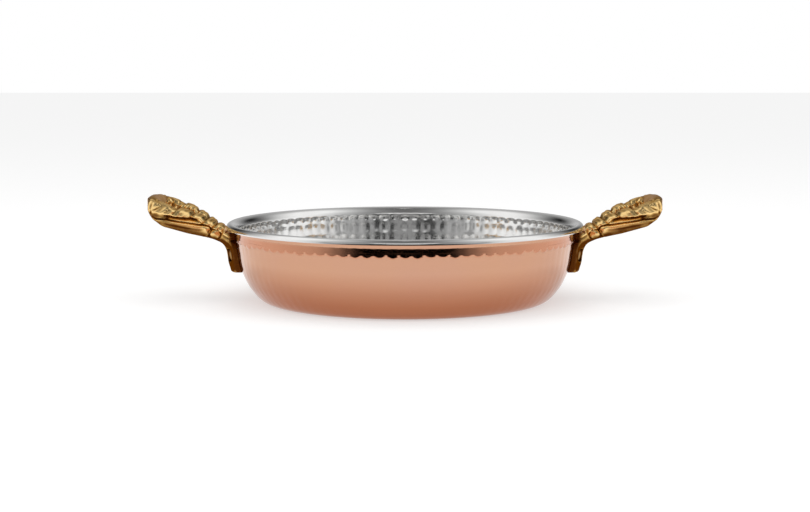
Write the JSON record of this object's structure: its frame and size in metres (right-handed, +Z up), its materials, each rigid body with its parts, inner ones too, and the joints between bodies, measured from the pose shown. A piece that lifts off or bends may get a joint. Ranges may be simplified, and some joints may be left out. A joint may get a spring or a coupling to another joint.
{
  "type": "copper pan",
  "caption": "Shallow round hammered copper egg pan, tinned inside, with a rolled-over brim and cast brass leaf loop handles riveted on opposite sides.",
  "frame": {"origin": "on the table, at the middle of the flat base", "axes": "+X towards the right handle, along the line through both handles; +Y away from the viewer, across the handles; +Z up, square to the base"},
  "size_m": [0.289, 0.2, 0.0591],
  "materials": {
    "copper": "hammered copper with a satin polish on the outside",
    "tin": "wiped tin over the hammered inside and the brim, soft satin",
    "cast_brass": "cast and tumbled, bright on the high spots with brown tarnish in the grooves",
    "rivet_brass": "upset heads with a dull polish"
  },
  "bodies": {
    "root": {"copper_pan": "copper", "handle_left": "cast_brass", "handle_right": "cast_brass", "handle_rivets": "rivet_brass"}
  },
  "joints": []
}
